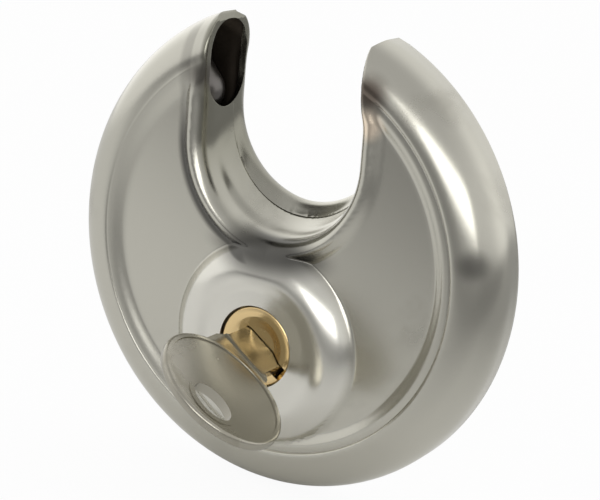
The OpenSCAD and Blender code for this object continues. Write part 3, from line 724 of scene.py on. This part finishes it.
# %% Smudges
smudges, gi, go = new_group("smudges", [("Place", None), ("Size", 60.0), ("Cover", 0.5)],
                            ["Mask"])
cloud = node(smudges, "ShaderNodeTexNoise", {"Vector": gi["Place"], "Scale": gi["Size"],
             "Detail": 4.0, "Roughness": 0.55, "Distortion": 0.6})
smudges.links.new(span(smudges, cloud.outputs["Fac"], gi["Cover"], 0.75), go["Mask"])

# %% Grain
grain, gi, go = new_group("grain", [("Place", None), ("Size", 2500.0), ("Depth", 0.3)],
                          ["Rough", "Height"])
fine = node(grain, "ShaderNodeTexNoise", {"Vector": gi["Place"], "Scale": gi["Size"],
            "Detail": 3.0, "Roughness": 0.6}).outputs["Fac"]
grain.links.new(times(grain, fine, gi["Depth"]), go["Rough"])
grain.links.new(fine, go["Height"])

# %% Turning marks
turned, gi, go = new_group("turning marks", [("Place", None), ("Lines", 9000.0)], ["Height"])
ray = vector_sums(turned, "LENGTH", vector_sums(turned, "MULTIPLY", gi["Place"], (1, 0, 1)))
turned.links.new(sums(turned, "SINE", times(turned, ray, gi["Lines"])), go["Height"])
print("groups:", [g.name for g in bpy.data.node_groups])

# %% [markdown]
# ## Painted shade, sheen and reflections on the front
# Shade and sheen are painted into the colour of the front. Painted shade darkens the flank of the
# lip and the corner where the lip meets the boss, painted shade darkens the wall of the notch, and
# a painted sheen makes the boss a little brighter. All three are masks made from the distance to
# the notch and to the boss. A few round spots of painted reflection, three dark and one warm, sit
# at the ears and the rim.

# %% Painted shade and sheen on the front
painted_light, gi, go = new_group("painted shade and sheen on the front", [("Place", None)], ["painted_corner_shade", "Boss", "Wall"])
home = vector_sums(painted_light, "SUBTRACT", gi["Place"], case_mid)
axes = node(painted_light, "ShaderNodeSeparateXYZ", {0: home}).outputs
low_part = sums(painted_light, "MINIMUM", sums(painted_light, "SUBTRACT", axes["Z"], 0.0149), 0.0)
from_notch = vector_sums(painted_light, "LENGTH", node(painted_light, "ShaderNodeCombineXYZ",
                         {"X": axes["X"], "Z": low_part}).outputs[0])
from_boss = vector_sums(painted_light, "ADD", home, (0, 0, BOSS_DOWN * MM))
from_boss = vector_sums(painted_light, "LENGTH", vector_sums(painted_light, "MULTIPLY", from_boss, (1, 0, 1)))
# painted shade along the flank of the lip, on its left and stronger lower down
flank = times(painted_light, span(painted_light, from_notch, 0.0148, 0.0153),
              span(painted_light, from_notch, 0.0163, 0.0174, 1, 0),
              span(painted_light, axes["X"], 0.002, -0.004), span(painted_light, axes["Z"], 0.024, 0.012, 0.3, 1))
# painted shade in the corner where the lip meets the boss
meeting = times(painted_light, span(painted_light, from_boss, 0.0148, 0.0190, 1, 0),
                span(painted_light, from_notch, 0.0150, 0.0195, 1, 0))
to_front = span(painted_light, axes["Y"], -0.002, -0.004)
painted_light.links.new(times(painted_light, sums(painted_light, "MAXIMUM", flank, meeting), to_front), go["painted_corner_shade"])
# painted sheen: the boss is made a little brighter
painted_light.links.new(times(painted_light, span(painted_light, from_boss, 0.0150, 0.0138), to_front), go["Boss"])
# painted shade on the left of the notch's wall, stronger higher up
painted_light.links.new(times(painted_light, span(painted_light, from_notch, 0.0138, 0.0130),
                     span(painted_light, axes["X"], 0.005, -0.007),
                     span(painted_light, axes["Z"], 0.003, 0.015, 0.35, 1.0)), go["Wall"])

# %% Painted reflection spots
spots, gi, go = new_group("painted reflection spot", [("Place", None), ("Middle", None), ("Size", 0.003)],
                          ["Mask"])
away = vector_sums(spots, "DISTANCE", gi["Place"], gi["Middle"])
spots.links.new(span(spots, sums(spots, "DIVIDE", away, gi["Size"]), 1.0, 0.25), go["Mask"])

# %% Painted light on the steel
# painted sheen on the boss, painted shade on the wall and in the corners
PAINTED_SHADE_AND_SHEEN = [("Boss", (0.76, 0.745, 0.68), 0.8), ("Wall", (0.20, 0.195, 0.155), 0.8),
        ("painted_corner_shade", (0.06, 0.058, 0.054), 0.9)]
# painted reflections: round spots, three dark and one warm and bright, at the ears and the rim
PAINTED_REFLECTIONS = [((14.0, -6.4, 25.4), 4.0, (0.13, 0.10, 0.08), 0.9),
           ((14.3, -6.2, 21.2), 3.0, (1.0, 0.84, 0.66), 0.9),
           ((-13.6, -5.0, 23.6), 3.2, (0.14, 0.13, 0.115), 0.85),
           ((31.0, -4.4, 5.4), 3.0, (0.12, 0.115, 0.105), 0.75)]

def paint_light_marks(tree, colour, place):
    """Lay the painted shade, the painted sheen and the spots of painted reflection over a colour.
    """
    light_masks = put_group(tree, painted_light, {"Place": place})
    for part, tint, strength in PAINTED_SHADE_AND_SHEEN:
        colour = blend(tree, times(tree, light_masks[part], strength), colour, tint)
    for middle, size, tint, strength in PAINTED_REFLECTIONS:
        mask = put_group(tree, spots, {"Place": place, "Size": size * MM,
                                       "Middle": case_mid + Vector(middle) * MM})["Mask"]
        colour = blend(tree, times(tree, mask, strength), colour, tint)
    return colour

# %% [markdown]
# ## Metals
# Every metal is the same recipe with its own colours and gloss: smudges change the colour and
# the gloss, and grain or turning marks give a fine relief. Only the shells' outside gets painted
# shade, painted sheen and painted reflections.

# %% Metal
SMUDGE_DULLS, RELIEF = 0.10, 0.0001

def metal(name, colour, tint, roughness, rough_change=0.12, grain_size=2500.0, bump=0.04,
          smudge_size=60.0, cover=0.48, rings_about=None, outside=False):
    "A metal with smudges in its colour and gloss, fine grain and, where turned, ring marks."
    m = new_material(name)
    t = m.node_tree
    place = node(t, "ShaderNodeTexCoord").outputs["Object"]
    mask = put_group(t, smudges, {"Place": place, "Size": smudge_size, "Cover": cover})["Mask"]
    surface = blend(t, mask, colour, tint)
    # on the shells' outside: painted shade, painted sheen and painted reflections
    if outside:
        surface = paint_light_marks(t, surface, place)
    tooth = put_group(t, grain, {"Place": place, "Size": grain_size, "Depth": rough_change})
    gloss = sums(t, "MULTIPLY_ADD", mask, SMUDGE_DULLS, roughness)
    gloss = sums(t, "ADD", gloss, tooth["Rough"])
    height = tooth["Height"]
    if rings_about is not None:
        centred = vector_sums(t, "SUBTRACT", place, rings_about)
        height = put_group(t, turned, {"Place": centred})["Height"]
    relief = node(t, "ShaderNodeBump", {"Height": height, "Strength": bump, "Distance": RELIEF})
    shader = node(t, "ShaderNodeBsdfPrincipled", {"Base Color": surface, "Metallic": 1.0,
                  "Roughness": gloss, "Normal": relief.outputs[0]})
    node(t, "ShaderNodeOutputMaterial", {"Surface": shader.outputs[0]})
    return m

# %% Metals of the lock
plug_axis = case_mid + Vector((0, 0, -BOSS_DOWN)) * MM
METALS = {
    "stainless_shell": metal("stainless_shell_satin", (0.55, 0.535, 0.47), (0.45, 0.435, 0.38),
                             0.20, 0.06, bump=0.03, cover=0.52, outside=True),
    "shackle_steel": metal("shackle_steel_dark", (0.16, 0.15, 0.14), (0.10, 0.095, 0.09), 0.26),
    "zinc_core": metal("zinc_core_cast", (0.20, 0.19, 0.18), (0.12, 0.11, 0.10), 0.5,
                       grain_size=1200.0, bump=0.2),
    "cylinder_brass": metal("cylinder_brass_drawn", (0.66, 0.49, 0.22), (0.5, 0.34, 0.14), 0.25),
    "plug_brass": metal("plug_brass_turned", (0.80, 0.60, 0.31), (0.66, 0.44, 0.19), 0.12, 0.08,
                        bump=0.05, rings_about=plug_axis),
    "pin_brass": metal("pin_brass_turned", (0.72, 0.52, 0.25), (0.5, 0.34, 0.14), 0.2),
    "pin_nickel": metal("pin_nickel_bright", (0.6, 0.58, 0.53), (0.5, 0.48, 0.43), 0.2),
    "spring_steel": metal("spring_steel_drawn", (0.5, 0.5, 0.5), (0.4, 0.4, 0.4), 0.25),
    "hard_steel": metal("hard_steel_ground", (0.36, 0.355, 0.345), (0.28, 0.27, 0.26), 0.3),
    "key_nickel": metal("key_nickel_worn", (0.40, 0.38, 0.32), (0.33, 0.31, 0.25), 0.24, 0.03,
                        bump=0.012, smudge_size=140.0, cover=0.54),
}
# inside faces: a rougher unpolished finish, with a dark colour that is painted shade in the mouths
inside_painted_shade = metal("stainless_inside_painted_shade", (0.085, 0.07, 0.055), (0.05, 0.04, 0.03), 0.5,
                   bump=0.1)
print("metals:", len(METALS) + 1)

# %% [markdown]
# ## Dress every piece
# Each solid that stays gets the metal of its part. The four new pieces ride on the bodies of the
# solids that they stand in for, so that the bar, the plug and the key still turn.

# %% Dress the solids
slot_of = {part["node"]: part["material_slot"] for part in frame["record"]["subparts"]}
for name, slot_name in slot_of.items():
    ob = bpy.data.objects[name]
    ob.data.materials.clear()
    ob.data.materials.append(METALS[slot_name])
print("solids dressed:", len(slot_of))

# %% Dress the new pieces
def dress(ob, body, nodes, slot_name):
    "Put a new piece on its body in place of solids, in their metal."
    if not ob.data.materials:
        ob.data.materials.append(None)
    for i, slot in enumerate(ob.material_slots):
        # the second slot, the inside faces, takes the painted shade
        slot.material = METALS[slot_name] if i == 0 else inside_painted_shade
    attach(ob, body)
    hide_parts(*nodes)

dress(front, "casing", ["front_shell"], "stainless_shell")
dress(rear, "casing", ["rear_shell"], "stainless_shell")
dress(plug, "cylinder_plug", ["plug"], "plug_brass")
dress(key, "turning_key", ["key"], "key_nickel")
for cutter in (cut_mouth, cut_hole, cut_slot):
    bpy.data.objects.remove(cutter)
